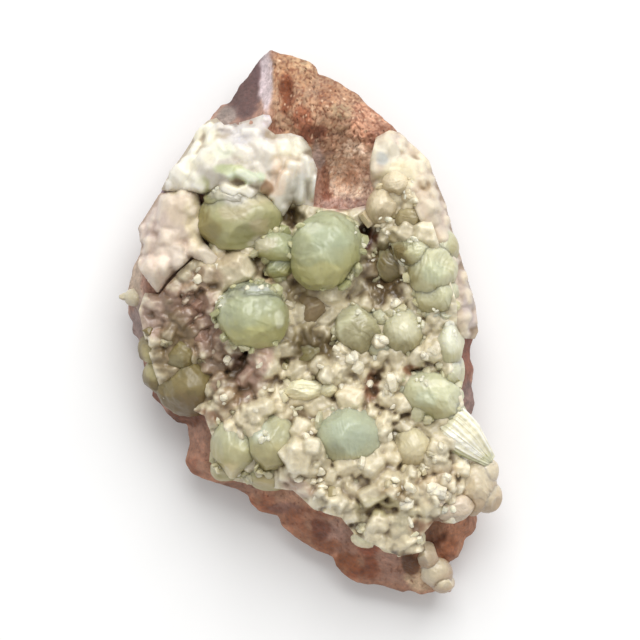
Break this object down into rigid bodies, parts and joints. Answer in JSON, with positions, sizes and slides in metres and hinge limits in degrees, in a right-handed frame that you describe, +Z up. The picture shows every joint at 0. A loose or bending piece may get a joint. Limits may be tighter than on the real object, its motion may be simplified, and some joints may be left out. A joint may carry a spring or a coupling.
{
  "type": "prehnite specimen",
  "caption": "Hand specimen of pale green prehnite balls and small cream crystals, grown on a loose piece of reddish purple volcanic rock.",
  "frame": {"origin": "middle of the specimen's outline seen from above, at the level of the flat broken back that it rests on", "axes": "+Y towards the peak of the rock, +Z up out of the crystal side, +X to the right seen from above"},
  "size_m": [0.0644, 0.0927, 0.0272],
  "materials": {
    "rock": "rough, granular and finely cracked, reddish brown to purple grey",
    "milky_crust": "milky white crystal crust, satin",
    "beige_crust": "beige pink crystal crust, satin",
    "green_prehnite": "pale green, translucent, waxy to glassy",
    "olive_prehnite": "dull olive, translucent, waxy",
    "white_blades": "fibrous white to pale green blades, pearly",
    "cream_crystals": "cream white crystals, translucent, glassy",
    "mauve_crystals": "pinkish mauve crystals, satin"
  },
  "bodies": {
    "root": {"matrix": "rock", "white_crust": "milky_crust", "left_plate": "beige_crust", "right_crust": "beige_crust", "upper_ball": "green_prehnite", "centre_balls": "green_prehnite", "left_ball": "green_prehnite", "lower_ball": "green_prehnite", "dome_ball": "green_prehnite", "right_balls": "green_prehnite", "ridge_plates": "green_prehnite", "column_ball": "green_prehnite", "lower_left_balls": "green_prehnite", "olive_ball": "green_prehnite", "shaded_balls": "olive_prehnite", "middle_upper_ball": "olive_prehnite", "middle_lower_ball": "olive_prehnite", "lower_small_ball": "olive_prehnite", "blade_fan": "white_blades", "druse": "cream_crystals", "cream_mass": "cream_crystals", "corner_knobs": "cream_crystals", "middle_cushion": "cream_crystals", "lower_right_lobes": "cream_crystals", "upper_right_knobs": "cream_crystals", "edge_fingers": "cream_crystals", "pearl_lobe": "cream_crystals", "left_tips": "cream_crystals", "mauve_lumps": "mauve_crystals"}
  },
  "joints": []
}
